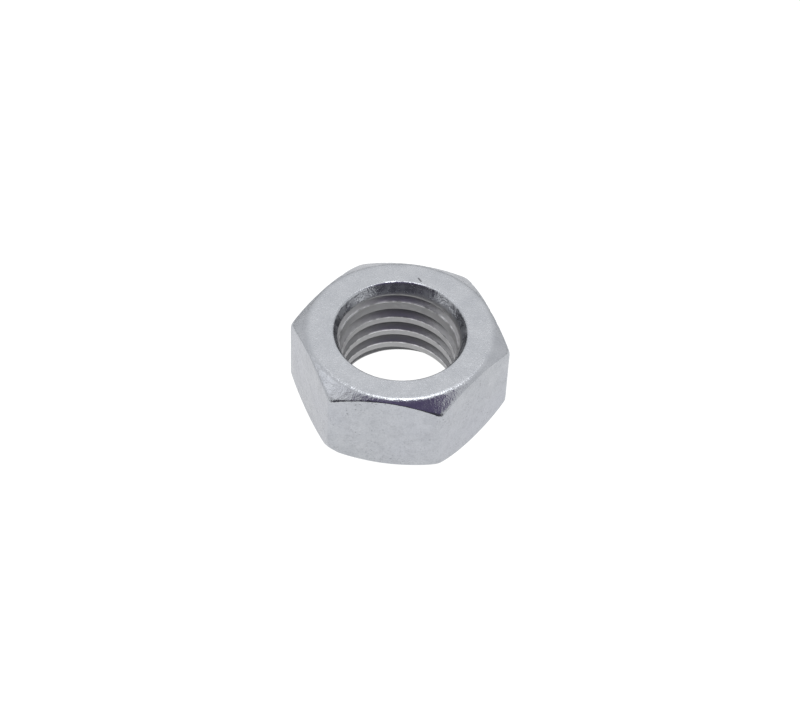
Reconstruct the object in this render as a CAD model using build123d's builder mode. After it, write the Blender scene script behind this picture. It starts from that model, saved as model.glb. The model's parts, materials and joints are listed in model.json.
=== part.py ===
"""Hex nut with a coarse right-hand M12 thread, chamfered and countersunk on both sides.

The upper end of the bore is a little bell-mouthed, so the thread's first crests are wider.

Millimetres. The origin is the centre of the lower bearing face, +Z runs up the thread axis,
and two of the six corners lie on the X axis. The nut is one solid piece, and nothing moves.
"""
from build123d import *
from build123d.topology import SkipClean
import os
from math import ceil, cos, radians, tan

# Hexagon
across_flats = 18.0  # between two opposite flats
nut_height = 8.8  # between the two bearing faces
corner_radius = 0.6  # rounding of the six upright edges

# Chamfers and bearing faces, the same on both sides
chamfer_setback = 0.36  # from the flats in to where bearing face and chamfer would meet
chamfer_angle = 32.0  # slope of a chamfer, from the bearing face
crown_radius = 1.2  # rounding where a bearing face turns into its chamfer
rim_blend = 0.15  # rounding where a bearing face turns into its countersink

# Thread
thread_diameter = 12.0  # at the roots of the thread
thread_pitch = 1.75
thread_depth = 0.7  # from the crests to the roots
thread_angle = 60.0  # between two flanks
thread_start_angle = 30.0  # where the groove crosses the lower bearing face, from +X

# Upper countersink and the bell mouth under it
upper_rim_margin = 0.24  # from the roots of the thread out to the rim
upper_countersink_depth = 1.0
upper_countersink_angle = 60.0  # between opposite sides of the cone
bell_depth = 2.7  # height over which the bell mouth narrows to the crests

# Lower countersink, smaller than the thread, whose groove runs out through the face
lower_countersink_depth = 0.75
lower_countersink_angle = 50.0  # between opposite sides of the cone

# Worked out from the sizes above
flat_radius = across_flats / 2
blank_radius = flat_radius / cos(radians(30))  # through the six corners, if they were sharp
bearing_radius = flat_radius - chamfer_setback
chamfer_drop = (blank_radius - bearing_radius) * tan(radians(chamfer_angle))
root_radius = thread_diameter / 2
crest_radius = root_radius - thread_depth
upper_rim_radius = root_radius + upper_rim_margin
upper_half_angle = radians(upper_countersink_angle / 2)
bell_radius = upper_rim_radius - upper_countersink_depth * tan(upper_half_angle)
bell_top = nut_height - upper_countersink_depth
crest_top = bell_top - bell_depth
lower_half_angle = radians(lower_countersink_angle / 2)
lower_rim_radius = crest_radius + lower_countersink_depth * tan(lower_half_angle)
root_flat = thread_pitch / 8
flank_slope = tan(radians(thread_angle / 2))  # rise along the axis for each step outwards
section_reach = 0.5  # how far the groove's section reaches into the open bore
mouth_radius = crest_radius - section_reach
mouth_half = root_flat / 2 + (root_radius - mouth_radius) * flank_slope


def turned_quarter():
    """A quarter of the turned blank: bearing faces, chamfers, countersinks and bore wall."""
    with BuildPart() as quarter:
        with BuildSketch(Plane.XZ):
            with BuildLine():
                Polyline(
                    (crest_radius, lower_countersink_depth),
                    (lower_rim_radius, 0),
                    (bearing_radius, 0),
                    (blank_radius, chamfer_drop),
                    (blank_radius, nut_height - chamfer_drop),
                    (bearing_radius, nut_height),
                    (upper_rim_radius, nut_height),
                    (bell_radius, bell_top),
                    (crest_radius, crest_top),
                    close=True,
                )
            make_face()
            lower_rim, lower_crown = vertices().group_by(Axis.Y)[0].sort_by(Axis.X)
            upper_rim, upper_crown = vertices().group_by(Axis.Y)[-1].sort_by(Axis.X)
            fillet([lower_rim, upper_rim], rim_blend)
            fillet([lower_crown, upper_crown], crown_radius)
        revolve(axis=Axis.Z, revolution_arc=90)
    return quarter.part


def groove_turn():
    """One turn of the helical groove, starting at the height of the lower bearing face."""
    start = Plane.XY.rotated((0, 0, thread_start_angle))
    with BuildPart() as turn:
        with BuildSketch(start * Plane.XZ):
            with BuildLine():
                Polyline(
                    (mouth_radius, -mouth_half),
                    (root_radius, -root_flat / 2),
                    (root_radius, root_flat / 2),
                    (mouth_radius, mouth_half),
                    close=True,
                )
            make_face()
        with BuildLine(start) as helix:
            Helix(thread_pitch, thread_pitch, crest_radius)
        sweep(path=helix.line, is_frenet=True)
    return turn.part


quarter_blank = turned_quarter()
groove = groove_turn()
turns_in_height = ceil(nut_height / thread_pitch)

# The bore stays in quarter faces: nothing is merged while the nut is put together
with SkipClean(), BuildPart() as hex_nut_body:
    with PolarLocations(0, 4):
        add(quarter_blank)

    # Six flats and the rounded edges between them
    with BuildSketch():
        RegularPolygon(flat_radius, 6, major_radius=False)
        fillet(vertices(), corner_radius)
    extrude(amount=nut_height, mode=Mode.INTERSECT)

    # The thread, turn by turn, from one turn below the nut to one above it
    for turn in range(-1, turns_in_height + 1):
        with Locations((0, 0, turn * thread_pitch)):
            add(groove, mode=Mode.SUBTRACT)

hex_nut_body.part.label = "hex_nut_body"
os.makedirs("parts", exist_ok=True)
export_step(hex_nut_body.part, "parts/hex_nut_body.step")
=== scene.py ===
"""A bright zinc-plated hex nut on a pale floor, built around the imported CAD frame."""
import json
import math
import random
import bpy
from mathutils import Matrix, Vector, noise


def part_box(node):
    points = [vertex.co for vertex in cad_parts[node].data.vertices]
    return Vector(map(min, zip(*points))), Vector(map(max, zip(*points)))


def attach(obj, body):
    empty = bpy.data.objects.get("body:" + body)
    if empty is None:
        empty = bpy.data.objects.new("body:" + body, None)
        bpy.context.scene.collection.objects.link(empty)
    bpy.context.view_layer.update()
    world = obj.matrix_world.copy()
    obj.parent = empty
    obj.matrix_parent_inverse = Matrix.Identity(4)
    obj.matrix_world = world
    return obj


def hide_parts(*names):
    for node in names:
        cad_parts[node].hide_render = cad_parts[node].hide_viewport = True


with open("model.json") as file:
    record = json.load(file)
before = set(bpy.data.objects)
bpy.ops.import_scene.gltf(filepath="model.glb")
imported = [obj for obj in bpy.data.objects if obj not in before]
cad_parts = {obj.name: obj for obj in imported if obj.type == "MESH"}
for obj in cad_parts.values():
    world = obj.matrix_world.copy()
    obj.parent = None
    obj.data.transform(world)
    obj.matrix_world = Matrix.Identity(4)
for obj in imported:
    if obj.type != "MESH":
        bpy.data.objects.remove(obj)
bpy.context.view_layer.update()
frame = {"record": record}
scene = bpy.context.scene
MM = 0.001

# ---------------------------------------------------------------- sizes, in millimetres

lowest, highest = (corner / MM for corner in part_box("hex_nut_body"))
thread = next(m for m in frame["record"]["mounts"] if m["name"] == "thread")

HEIGHT = highest.z - lowest.z
FLAT_RADIUS = (highest.y - lowest.y) / 2
CREST_RADIUS = thread["dims"]["r_mm"]
CREST_TOP, CREST_BOTTOM = (
    (thread["pos_m"][2] / MM) + side * thread["dims"]["length_mm"] / 2 for side in (1, -1)
)
PITCH = 1.75
THREAD_DEPTH = 0.7
THREAD_START = 30.0  # degrees from +X, where the groove crosses the lower face
FLANK_SLOPE = math.tan(math.radians(30))
ROOT_RADIUS = CREST_RADIUS + THREAD_DEPTH
ROOT_HALF = PITCH / 16  # half the width of the groove's floor

UPPER_RIM = ROOT_RADIUS + 0.24
UPPER_SLOPE = math.tan(math.radians(30))  # outwards for each step up the countersink
UPPER_DEPTH = 1.0
BELL_RADIUS = UPPER_RIM - UPPER_DEPTH * UPPER_SLOPE
BELL_SLOPE = (BELL_RADIUS - CREST_RADIUS) / (HEIGHT - UPPER_DEPTH - CREST_TOP)
LOWER_SLOPE = math.tan(math.radians(25))
LOWER_RIM = CREST_RADIUS + CREST_BOTTOM * LOWER_SLOPE
UPPER_LAND = 0.25  # depth below the upper face where the thread's rows end
LOWER_LAND = 0.1  # height above the lower face where they begin

BEARING_RADIUS = FLAT_RADIUS - 0.36
CHAMFER_SLOPE = math.tan(math.radians(32))
CORNER_RADIUS = 0.6

UPPER_RIM_ROUND = 0.26
LOWER_RIM_ROUND = 0.1
CROWN_ROUND = 1.2
SHOULDER_ROUND = 0.2  # grows to SHOULDER_CORNER at the hexagon's corners
SHOULDER_CORNER = 0.75
CREST_ROUND = 0.07
ROOT_ROUND = 0.10
LIP_HEIGHT = 0.02  # the lip that the tap rolled up on the upper edge of each crest
# LIP_DROP, LIP_WIDTH and LIP_TOP also place the painted highlight laid along the lip
LIP_DROP = 0.06  # from the crest's edge down to the middle of the lip
LIP_WIDTH = 0.10  # from the lip's middle to its faded border
LIP_TOP = 0.04  # from its middle to where it starts to fade
MARK_DEPTH = 0.006
SCRATCH_ENDS = ((0.61, 7.11), (1.08, 6.52))  # on the upper face
CALMER = (("top_face", 0.6), ("bore", 0.35), ("turned", 0.3))  # where the relief is weaker


def smooth_max(a, b, k):
    """The larger of two values, blended over a difference of k."""
    blend = max(k - abs(a - b), 0.0) / k
    return max(a, b) + blend * blend * k / 4


def smooth_min(a, b, k):
    return -smooth_max(-a, -b, k)


def hexagon_radius(angle):
    """Distance from the axis to the hexagon's rounded outline, in the direction of angle."""
    off_corner = (angle + math.pi / 6) % (math.pi / 3) - math.pi / 6
    flat = FLAT_RADIUS / math.cos(math.pi / 6 - abs(off_corner))
    centre = (FLAT_RADIUS - CORNER_RADIUS) / math.cos(math.pi / 6)
    inside = CORNER_RADIUS**2 - (centre * math.sin(off_corner)) ** 2
    half = CORNER_RADIUS / 2
    tangent = math.atan2(half, centre + CORNER_RADIUS * math.cos(math.pi / 6))
    if abs(off_corner) < tangent:
        return centre * math.cos(off_corner) + math.sqrt(inside)
    return flat


def bore_radius(angle, z):
    """Distance from the axis to the threaded wall with its bell mouth and countersinks."""
    turn = (math.degrees(angle) - THREAD_START) / 360
    off_groove = abs((z / PITCH - turn + 0.5) % 1 - 0.5) * PITCH
    flank = ROOT_RADIUS - (off_groove - ROOT_HALF) / FLANK_SLOPE
    groove = smooth_min(flank, ROOT_RADIUS, ROOT_ROUND)
    bell = CREST_RADIUS + (z - CREST_TOP) * BELL_SLOPE
    upper = UPPER_RIM - (HEIGHT - z) * UPPER_SLOPE
    lower = LOWER_RIM - z * LOWER_SLOPE
    crest = max(CREST_RADIUS, bell, lower)
    liner = smooth_max(crest, upper, CREST_ROUND)
    return smooth_max(groove, liner, CREST_ROUND)


def rounded_path(corners, spans, arc_steps):
    """Points along straight runs joined by arcs.

    corners is a list of (r, z, rounding), spans the number of steps in each straight run.
    """
    places = [Vector(corner[:2]) for corner in corners]
    runs = [after - before for before, after in zip(places, places[1:])]
    cuts = [0.0]
    for corner, come, go in zip(corners[1:], runs, runs[1:]):
        cuts.append(corner[2] * math.tan(come.angle(go) / 2))
    cuts.append(0.0)
    for index, run in enumerate(runs):
        shrink = min(1.0, 0.95 * run.length / max(cuts[index] + cuts[index + 1], 1e-9))
        cuts[index] *= shrink
        cuts[index + 1] *= shrink
    arcs = [[places[0]]]
    for here, cut, come, go in zip(places[1:], cuts[1:], runs, runs[1:]):
        start = here - come.normalized() * cut
        stop = here + go.normalized() * cut
        arc = []
        for step in range(arc_steps + 1):
            share = step / arc_steps
            arc.append(start.lerp(here, share).lerp(here.lerp(stop, share), share))
        arcs.append(arc)
    arcs.append([places[-1]])
    points = list(arcs[0])
    for steps, (last, following) in zip(spans, zip(arcs, arcs[1:])):
        for step in range(1, steps):
            points.append(last[-1].lerp(following[0], step / steps))
        points.extend(following)
    return points


def outside_path(angle):
    """The section from the upper countersink, round the outside, to the lower one."""
    side = hexagon_radius(angle)
    drop = (side - BEARING_RADIUS) * CHAMFER_SLOPE
    cornerness = (side - FLAT_RADIUS) / (hexagon_radius(0) - FLAT_RADIUS)
    shoulder = SHOULDER_ROUND + (SHOULDER_CORNER - SHOULDER_ROUND) * cornerness**3
    corners = [
        (UPPER_RIM - UPPER_LAND * UPPER_SLOPE, HEIGHT - UPPER_LAND, 0),
        (UPPER_RIM, HEIGHT, UPPER_RIM_ROUND),
        (BEARING_RADIUS, HEIGHT, CROWN_ROUND),
        (side, HEIGHT - drop, shoulder),
        (side, drop, shoulder),
        (BEARING_RADIUS, 0, CROWN_ROUND),
        (bore_radius(angle, 0), 0, LOWER_RIM_ROUND),
        (bore_radius(angle, LOWER_LAND), LOWER_LAND, 0),
    ]
    return rounded_path(corners, (2, 12, 5, 21, 4, 9, 1), 6)


def column_angles():
    """Directions of the mesh's columns, close together round each corner of the hexagon."""
    angles = []
    for corner in range(6):
        for low, high, steps in ((-30, -2, 34), (-2, 2, 12), (2, 30, 34)):
            for step in range(steps):
                off = low + (high - low) * step / steps
                angles.append(math.radians(60 * corner + off))
    return angles


HALF_TURN_ROWS = (0, 0.04, 0.07, 0.12, 0.18, 0.235, 0.27, 0.30, 0.335, 0.41, 0.5)


def thread_rows():
    """Heights of the thread's rows above the groove's centre line, in pitches."""
    one_turn = list(HALF_TURN_ROWS) + [1 - row for row in HALF_TURN_ROWS[-2:0:-1]]
    turns = range(-2, math.ceil(HEIGHT / PITCH) + 2)
    return [turn + row for turn in turns for row in one_turn], len(one_turn)


# The clearest dents of the upper face: distance from the axis, degrees from +X, size, depth
FACE_DENTS = (
    (6.95, 147, 0.34, 0.05),
    (6.95, 152, 0.28, 0.045),
    (7.15, -172, 0.25, 0.03),
    (7.5, 104, 0.4, 0.035),
    (8.0, -110, 0.26, 0.035),
    (8.05, -41, 0.3, 0.05),
    (7.95, -32, 0.3, 0.05),
)
# The knocked lower corner: distance from the axis, degrees from +X, height, size, depth
CORNER_DENT = (10.3, -120, 0.7, 1.0, 0.13)
SHOULDER_DENTS = 46  # small ones along the hexagon's shoulders
LIGHT_DENTS = 60  # shallow ones anywhere on the upper face and its chamfer


def around(radius, angle, z):
    return Vector((radius * math.cos(angle), radius * math.sin(angle), z))


def scatter_dents():
    """Small handling dents: places on the skin, each with a radius and a depth."""
    dice = random.Random(7)
    dents = []
    for radius, degrees, size, depth in FACE_DENTS:
        dents.append((around(radius, math.radians(degrees), HEIGHT), size, depth))
    radius, degrees, z, size, depth = CORNER_DENT
    dents.append((around(radius, math.radians(degrees), z), size, depth))
    for _ in range(SHOULDER_DENTS):
        angle = dice.uniform(-math.pi, math.pi)
        side = hexagon_radius(angle)
        z = HEIGHT - (side - BEARING_RADIUS) * CHAMFER_SLOPE
        size = dice.uniform(0.12, 0.28)
        dents.append((around(side, angle, z), size, dice.uniform(0.01, 0.035)))
    for _ in range(LIGHT_DENTS):
        angle = dice.uniform(-math.pi, math.pi)
        radius = dice.uniform(UPPER_RIM, FLAT_RADIUS)
        z = HEIGHT - max(radius - BEARING_RADIUS, 0) * CHAMFER_SLOPE
        size = dice.uniform(0.12, 0.3)
        dents.append((around(radius, angle, z), size, dice.uniform(0.004, 0.012)))
    return dents


def worn(point, inward, dents):
    """A point of the skin, moved by the soft ripple of the forged blank and by the dents."""
    depth = 0.010 * noise.noise(point * 0.55)
    depth += 0.0035 * noise.noise(point * 1.7 + Vector((9, 4, 1)))
    for place, radius, deepest in dents:
        if abs(point.x - place.x) < radius and abs(point.y - place.y) < radius:
            near = 1 - (point - place).length_squared / radius**2
            if near > 0:
                depth += deepest * near * near
    return point + inward * depth


def nut_mesh():
    """The nut as one closed skin: a grid of columns, whose thread rows climb with the helix."""
    angles = column_angles()
    rows, rows_in_turn = thread_rows()
    dents = scatter_dents()
    points = []
    outside = []
    wall = []
    low, high = LOWER_LAND, HEIGHT - UPPER_LAND
    for angle in angles:
        radial = Vector((math.cos(angle), math.sin(angle), 0))
        column = []
        for r, z in outside_path(angle):
            column.append(len(points))
            lift = Vector((0, 0, HEIGHT / 2 - z)).normalized() if 0.05 < z < HEIGHT else Vector()
            share = min(max((r - UPPER_RIM) / 3, 0), 1)
            inward = (lift - radial * share).normalized() if share else lift
            points.append(worn(radial * r + Vector((0, 0, z)), inward, dents))
        outside.append(column)
        climb = (math.degrees(angle) - THREAD_START) / 360
        inner = []
        for row in rows:
            z = PITCH * (row + climb)
            if z <= low + 0.01:
                inner.append(column[-1])
            elif z >= high - 0.01:
                inner.append(column[0])
            else:
                inner.append(len(points))
                points.append(radial * bore_radius(angle, z) + Vector((0, 0, z)))
        wall.append(inner)

    faces = []

    def add_strip(left, right):
        for a, b, c, d in zip(left, left[1:], right[1:], right):
            loop = list(dict.fromkeys((a, d, c, b)))
            if len(loop) > 2:
                faces.append(loop)

    count = len(angles)
    for index in range(count):
        following = (index + 1) % count
        add_strip(outside[index], outside[following])
        right = wall[following]
        if following == 0:
            right = wall[0][rows_in_turn:] + [outside[0][0]] * rows_in_turn
        add_strip(wall[index], right)
    mesh = bpy.data.meshes.new("hex_nut")
    mesh.from_pydata([p * MM for p in points], [], faces)
    mesh.polygons.foreach_set("use_smooth", [True] * len(mesh.polygons))
    mesh.validate()
    mesh.update()
    return mesh


nut = bpy.data.objects.new("hex_nut", nut_mesh())
scene.collection.objects.link(nut)
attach(nut, "root")
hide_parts("hex_nut_body")


# ---------------------------------------------------------------- materials


def new_material(name):
    material = bpy.data.materials.new(name)
    material.use_nodes = True
    tree = material.node_tree
    return material, tree, tree.nodes["Principled BSDF"]


def add_node(tree, kind, **settings):
    """A new node; settings are its own properties, or the values of its inputs."""
    node = tree.nodes.new("ShaderNode" + kind)
    for name, value in settings.items():
        if hasattr(node, name):
            setattr(node, name, value)
        else:
            node.inputs[name.replace("_", " ").title()].default_value = value
    return node


def noise_value(tree, place, scale, detail, low, high):
    """A noise field, its middle part stretched from low to high."""
    field = add_node(tree, "TexNoise", scale=scale, detail=detail)
    spread = add_node(tree, "MapRange", from_min=0.3, from_max=0.7, to_min=low, to_max=high)
    tree.links.new(place, field.inputs["Vector"])
    tree.links.new(field.outputs["Fac"], spread.inputs["Value"])
    return spread.outputs["Result"]


def combine(tree, operation, *values):
    """A Math node's result; each value is a number or a socket."""
    node = tree.nodes.new("ShaderNodeMath")
    node.operation = operation
    for value, socket in zip(values, node.inputs):
        if isinstance(value, (int, float)):
            socket.default_value = value
        else:
            tree.links.new(value, socket)
    return node.outputs[0]


def times(tree, first, second):
    return combine(tree, "MULTIPLY", first, second)


def largest(tree, first, *others):
    for other in others:
        first = combine(tree, "MAXIMUM", first, other)
    return first


def masked(tree, value, from_min, from_max, to_min=0.0, to_max=1.0):
    """A value read off between two limits, as a share from to_min to to_max."""
    node = add_node(
        tree, "MapRange", from_min=from_min, from_max=from_max, to_min=to_min, to_max=to_max
    )
    tree.links.new(value, node.inputs["Value"])
    return node.outputs["Result"]


def tinted(tree, colour, share, tint):
    """A colour mixed towards a tint by a share."""
    mix = tree.nodes.new("ShaderNodeMix")
    mix.data_type = "RGBA"
    if isinstance(colour, tuple):
        mix.inputs[6].default_value = colour
    else:
        tree.links.new(colour, mix.inputs[6])
    mix.inputs[7].default_value = tint
    tree.links.new(share, mix.inputs[0])
    return mix.outputs[2]


def pits(tree, place, scale, size, kept):
    """Scattered ragged spots: 1 in a spot, 0 elsewhere. kept is the share of cells with a spot."""
    ragged = add_node(tree, "TexNoise", scale=5.0, detail=2.0)
    tree.links.new(place, ragged.inputs["Vector"])
    shift = tree.nodes.new("ShaderNodeVectorMath")
    shift.operation = "MULTIPLY_ADD"
    tree.links.new(ragged.outputs["Color"], shift.inputs[0])
    shift.inputs[1].default_value = (0.3, 0.3, 0.3)
    tree.links.new(place, shift.inputs[2])
    cells = add_node(tree, "TexVoronoi", scale=scale)
    tree.links.new(shift.outputs[0], cells.inputs["Vector"])
    spot = masked(tree, cells.outputs["Distance"], size * scale, size * scale * 0.4)
    pick = tree.nodes.new("ShaderNodeSeparateColor")
    tree.links.new(cells.outputs["Color"], pick.inputs[0])
    chosen = masked(tree, pick.outputs[0], kept, kept - 0.02)
    return times(tree, spot, chosen)


def scratch(tree, place, start, stop, width):
    """A straight scratch between two points of the upper face: 1 along it, 0 elsewhere."""
    along = Vector(stop) - Vector(start)
    half = along.length / 2
    along.normalize()
    middle = (Vector(start) + Vector(stop)) / 2
    offsets = []
    for direction in (along, Vector((-along.y, along.x)), None):
        dot = tree.nodes.new("ShaderNodeVectorMath")
        dot.operation = "DOT_PRODUCT"
        tree.links.new(place, dot.inputs[0])
        axis = Vector((direction.x, direction.y, 0)) if direction else Vector((0, 0, 1))
        dot.inputs[1].default_value = axis
        centre = middle.x * axis.x + middle.y * axis.y + (HEIGHT if not direction else 0)
        away = combine(tree, "SUBTRACT", dot.outputs["Value"], centre)
        offsets.append(combine(tree, "ABSOLUTE", away))
    mask = masked(tree, offsets[0], half, half * 0.6)
    mask = times(tree, mask, masked(tree, offsets[1], width, width * 0.4))
    return times(tree, mask, masked(tree, offsets[2], 0.3, 0.2))


def rolled_lip(tree, place, x, y, z):
    """The lip that the tap rolled up on the upper edge of each crest, where a painted highlight is
    also laid: 1 along it, 0 elsewhere.
    """
    angle = combine(tree, "ARCTAN2", y, x)
    turn = combine(tree, "MULTIPLY_ADD", angle, -1 / math.tau, THREAD_START / 360)
    phase = combine(tree, "MULTIPLY_ADD", z, 1 / PITCH, turn)
    below_groove = combine(tree, "SUBTRACT", combine(tree, "FRACT", phase), 1.0)
    bell_end = CREST_RADIUS + (HEIGHT - CREST_TOP) * BELL_SLOPE
    crest = masked(tree, z, CREST_TOP, HEIGHT, CREST_RADIUS, bell_end)
    depth = combine(tree, "SUBTRACT", ROOT_RADIUS, crest)
    edge = combine(tree, "MULTIPLY_ADD", depth, FLANK_SLOPE / PITCH, ROOT_HALF / PITCH)
    away = combine(tree, "ADD", combine(tree, "ADD", below_groove, edge), LIP_DROP / PITCH)
    away = combine(tree, "ABSOLUTE", away)
    lip = masked(tree, away, LIP_WIDTH / PITCH, LIP_TOP / PITCH)
    uneven = noise_value(tree, place, 1.3, 4.0, -0.25, 1.25)
    return times(tree, lip, largest(tree, uneven, 0.0))


def nut_regions(tree, place, normal):
    """Shares from 0 to 1 that say which parts of the nut a point lies on."""
    split = tree.nodes.new("ShaderNodeSeparateXYZ")
    tree.links.new(place, split.inputs[0])
    x, y, z = split.outputs
    slope = tree.nodes.new("ShaderNodeSeparateXYZ")
    tree.links.new(normal, slope.inputs[0])
    tilt = slope.outputs["Z"]
    squared = combine(tree, "ADD", times(tree, x, x), times(tree, y, y))
    inside = masked(tree, squared, UPPER_RIM**2 + 0.3, UPPER_RIM**2 - 1.0)
    bore = times(tree, inside, masked(tree, z, HEIGHT - 0.75, HEIGHT - 1.1))
    upright = masked(tree, combine(tree, "ABSOLUTE", tilt), 0.35, 0.15)
    return {
        "inside": inside,
        "bore": bore,  # the thread and its bell mouth
        "cone": times(tree, inside, combine(tree, "SUBTRACT", 1.0, bore)),
        # The sloping faces: the upper chamfers and the thread's upper flanks, which get painted shade
        # in the colour
        "turned": times(tree, masked(tree, tilt, 0.985, 0.90), masked(tree, tilt, 0.55, 0.75)),
        "pressed": times(tree, upright, combine(tree, "SUBTRACT", 1.0, inside)),  # the six flats
        "top_face": masked(tree, tilt, 0.975, 0.995),  # the upper bearing face
        "lip": times(tree, rolled_lip(tree, place, x, y, z), bore),
    }


def zinc_marks(tree, place, region):
    """Specks in loose clusters on the flats, and one scratch on the upper face."""
    clusters = largest(tree, noise_value(tree, place, 0.45, 3.0, -0.7, 1.3), 0.0)
    specks = largest(tree, pits(tree, place, 2.6, 0.11, 0.5), pits(tree, place, 4.3, 0.07, 0.5))
    specks = combine(tree, "MINIMUM", times(tree, specks, clusters), 1.0)
    specks = times(tree, specks, region["pressed"])
    return largest(tree, times(tree, specks, 0.6), scratch(tree, place, *SCRATCH_ENDS, 0.11))


def zinc_colour(tree, place, region, marks):
    """Mottled bluish grey with smudges on the flats, and painted light laid in: a lilac reflection on
    the flats, shade in the bore and on the slopes, a lighter upper face and highlights along the
    crests.
    """
    mottle = noise_value(tree, place, 0.55, 3.0, 0, 1)
    grain = noise_value(tree, place, 6.5, 2.0, 0, 1)
    blend = combine(tree, "ADD", times(tree, mottle, 0.5), times(tree, grain, 0.5))
    colour = tinted(tree, (0.39, 0.407, 0.433, 1), blend, (0.515, 0.53, 0.552, 1))
    # Painted reflection: a broad lilac tint on the flats, standing in for the coloured light they
    # reflect
    lilac_reflection = noise_value(tree, place, 0.16, 1.0, 0, 0.5)
    smudge = largest(tree, noise_value(tree, place, 1.5, 4.0, -0.12, 0.12), 0.0)
    grime = largest(tree, noise_value(tree, place, 7.5, 3.0, -0.12, 0.16), 0.0)
    smudge = combine(tree, "ADD", smudge, grime)
    for share, tint in (
        (times(tree, lilac_reflection, region["pressed"]), (0.478, 0.492, 0.538, 1)),
        # Partly painted shade: the bore is laid a darker, plainer grey, for the shade inside the hole
        # as well as the thread's own plainer tone
        (times(tree, region["bore"], 0.8), (0.40, 0.398, 0.397, 1)),
        # Painted highlight: the lip is laid near white, in beads, for the glints along the crests'
        # upper edges
        (region["lip"], (0.97, 0.97, 0.98, 1)),
        # Painted shade: the sloping faces are darkened by their slope
        (times(tree, region["turned"], 0.11), (0.0, 0.0, 0.0, 1)),
        # Painted light: the upward-facing upper face is made a little lighter
        (times(tree, region["top_face"], 0.04), (1.0, 1.0, 1.0, 1)),
        (times(tree, smudge, region["pressed"]), (0.12, 0.12, 0.13, 1)),
        (times(tree, marks, 0.85), (0.09, 0.09, 0.10, 1)),
    ):
        colour = tinted(tree, colour, share, tint)
    return colour


def zinc_roughness(tree, place, region):
    """Satin all over, duller in the bore and blotchy on the cone of the countersink."""
    rough = noise_value(tree, place, 2.3, 3.0, 0.14, 0.24)
    blotch = noise_value(tree, place, 1.1, 4.0, -0.05, 0.22)
    for name, duller in (("bore", 0.26), ("top_face", 0.06), ("cone", blotch)):
        rough = combine(tree, "ADD", rough, times(tree, region[name], duller))
    return rough


def zinc_relief(tree, place, region, marks):
    """Height in millimetres: soft ripples, grain, sunk marks and the lips on the crests."""
    height = noise_value(tree, place, 1.5, 2.0, -0.009, 0.009)
    height = combine(tree, "ADD", height, noise_value(tree, place, 6.0, 3.0, -0.0035, 0.0035))
    sparkle = noise_value(tree, place, 7.5, 2.0, -0.0045, 0.0045)
    height = combine(tree, "ADD", height, times(tree, sparkle, region["turned"]))
    calm = [times(tree, region[name], share) for name, share in CALMER]
    height = times(tree, height, combine(tree, "SUBTRACT", 1.0, largest(tree, *calm)))
    height = combine(tree, "SUBTRACT", height, times(tree, marks, MARK_DEPTH))
    return combine(tree, "ADD", height, times(tree, region["lip"], LIP_HEIGHT))


def zinc_material():
    """Bright zinc plating: a mottled satin metal with fine grain, soft ripples and small marks."""
    material, tree, shader = new_material("bright_zinc")
    link = tree.links.new
    where = tree.nodes.new("ShaderNodeTexCoord")
    mapping = tree.nodes.new("ShaderNodeMapping")  # object coordinates in millimetres
    mapping.inputs["Scale"].default_value = (1 / MM, 1 / MM, 1 / MM)
    link(where.outputs["Object"], mapping.inputs["Vector"])
    place = mapping.outputs["Vector"]
    region = nut_regions(tree, place, where.outputs["Normal"])
    marks = zinc_marks(tree, place, region)

    link(zinc_colour(tree, place, region, marks), shader.inputs["Base Color"])
    link(zinc_roughness(tree, place, region), shader.inputs["Roughness"])
    matt = combine(tree, "ADD", times(tree, region["inside"], 0.04), times(tree, region["bore"], 0.18))
    link(combine(tree, "SUBTRACT", 1.0, matt), shader.inputs["Metallic"])
    shader.inputs["Specular Tint"].default_value = (0.85, 0.85, 0.86, 1)

    bump = add_node(tree, "Bump", strength=1.0, distance=MM)
    link(zinc_relief(tree, place, region, marks), bump.inputs["Height"])
    link(bump.outputs["Normal"], shader.inputs["Normal"])
    return material


nut.data.materials.append(zinc_material())

# ---------------------------------------------------------------- stage and light


FLOOR_REACH = 4.0  # metres from the nut to each side of the floor
FLOOR_GAP = 0.02 * MM  # keeps the floor just clear of the nut's lower face


def pale_floor():
    """A wide white floor, lit from within so that it stays as bright as the background."""
    mesh = bpy.data.meshes.new("floor")
    corners = [(x * FLOOR_REACH, y * FLOOR_REACH, 0) for x, y in ((-1, -1), (1, -1), (1, 1), (-1, 1))]
    mesh.from_pydata(corners, [], [(0, 1, 2, 3)])
    floor = bpy.data.objects.new("floor", mesh)
    floor.location.z = -FLOOR_GAP
    scene.collection.objects.link(floor)
    material, tree, shader = new_material("pale_floor")
    shader.inputs["Base Color"].default_value = (0.12, 0.12, 0.12, 1)
    shader.inputs["Roughness"].default_value = 0.9
    shader.inputs["Emission Color"].default_value = (1, 1, 1, 1)
    shader.inputs["Emission Strength"].default_value = 1.0
    mesh.materials.append(material)


def towards(azimuth, elevation):
    """A direction; azimuth 0 is the front, and 90 the right."""
    a, e = math.radians(azimuth), math.radians(elevation)
    return Vector((math.sin(a) * math.cos(e), -math.cos(a) * math.cos(e), math.sin(e)))


def sky_patch(tree, direction, centre, inner, outer):
    """1 within the inner angle of a direction, fading to 0 at the outer one."""
    dot = tree.nodes.new("ShaderNodeVectorMath")
    dot.operation = "DOT_PRODUCT"
    dot.inputs[1].default_value = centre
    tree.links.new(direction, dot.inputs[0])
    fade = tree.nodes.new("ShaderNodeMapRange")
    fade.interpolation_type = "SMOOTHSTEP"
    fade.inputs["From Min"].default_value = math.cos(math.radians(outer))
    fade.inputs["From Max"].default_value = math.cos(math.radians(inner))
    tree.links.new(dot.outputs["Value"], fade.inputs["Value"])
    return fade.outputs["Result"]


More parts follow.
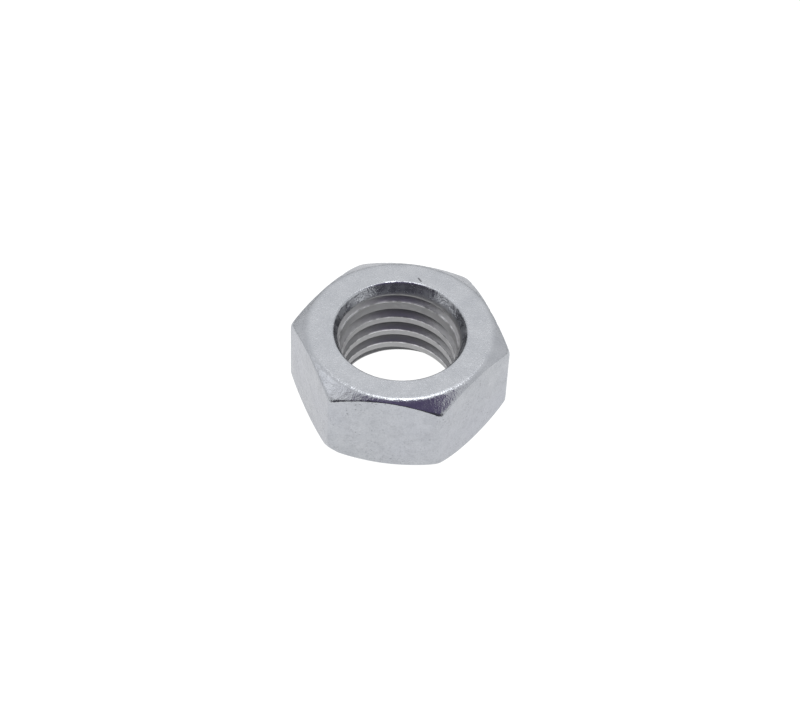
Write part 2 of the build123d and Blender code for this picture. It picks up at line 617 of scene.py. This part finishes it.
def studio_world():
    """A light tent, dark at the front, with a soft box over the back and a weaker one at the left."""
    world = bpy.data.worlds.new("studio")
    scene.world = world
    world.use_nodes = True
    tree = world.node_tree
    where = tree.nodes.new("ShaderNodeTexCoord").outputs["Generated"]
    split = tree.nodes.new("ShaderNodeSeparateXYZ")
    ramp = tree.nodes.new("ShaderNodeValToRGB")
    tree.links.new(where, split.inputs[0])
    tree.links.new(split.outputs["Z"], ramp.inputs["Fac"])
    stops = ((0.0, 0.28), (0.06, 0.28), (0.12, 0.95), (0.35, 1.0))  # sine of the elevation, grey
    for _ in stops[2:]:
        ramp.color_ramp.elements.new(0.5)
    for element, (place, value) in zip(ramp.color_ramp.elements, stops):
        element.position = place
        element.color = (value, value, value * 1.015, 1)
    colour = ramp.outputs["Color"]
    for centre, inner, outer, patch in (
        (towards(180, 69), 6, 9, (4.6, 4.6, 4.7, 1)),  # the soft box over the back
        (towards(3, 20), 46, 56, (0.08, 0.077, 0.095, 1)),  # the tent's open front
        (towards(26, 70), 25, 30, (0.165, 0.135, 0.25, 1)),  # a dim cloth above it
        (towards(-92, 52), 5, 14, (1.7, 1.7, 1.75, 1)),  # the weaker box at the left
    ):
        mix = tree.nodes.new("ShaderNodeMix")
        mix.data_type = "RGBA"
        tree.links.new(colour, mix.inputs[6])
        mix.inputs[7].default_value = patch
        tree.links.new(sky_patch(tree, where, centre, inner, outer), mix.inputs[0])
        colour = mix.outputs[2]
    tree.links.new(colour, tree.nodes["Background"].inputs["Color"])


pale_floor()
studio_world()
scene.view_settings.view_transform = "Standard"

# ---------------------------------------------------------------- camera

CAMERA_AZIMUTH = 6.4  # degrees, from the front towards the right
CAMERA_ELEVATION = 47.5
CAMERA_ROLL = 2.73
CAMERA_DISTANCE = 226.9
CAMERA_LENS = 107.05
AIM_RIGHT = 0.25  # from the origin to the point aimed at, across and up the view
AIM_UP = 2.868


def add_camera():
    """The camera looks down at the nut, a little from the right and slightly rolled."""
    data = bpy.data.cameras.new("camera")
    data.lens = CAMERA_LENS
    data.sensor_width = 36.0
    data.clip_start = 0.01
    data.clip_end = 20.0
    camera = bpy.data.objects.new("camera", data)
    scene.collection.objects.link(camera)
    back = towards(CAMERA_AZIMUTH, CAMERA_ELEVATION)
    turn = (-back).to_track_quat("-Z", "Y").to_matrix()
    turn = turn @ Matrix.Rotation(math.radians(CAMERA_ROLL), 3, "Z")
    aim = turn @ Vector((AIM_RIGHT, AIM_UP, 0))
    camera.location = (aim + back * CAMERA_DISTANCE) * MM
    camera.rotation_euler = turn.to_euler()
    scene.camera = camera


add_camera()
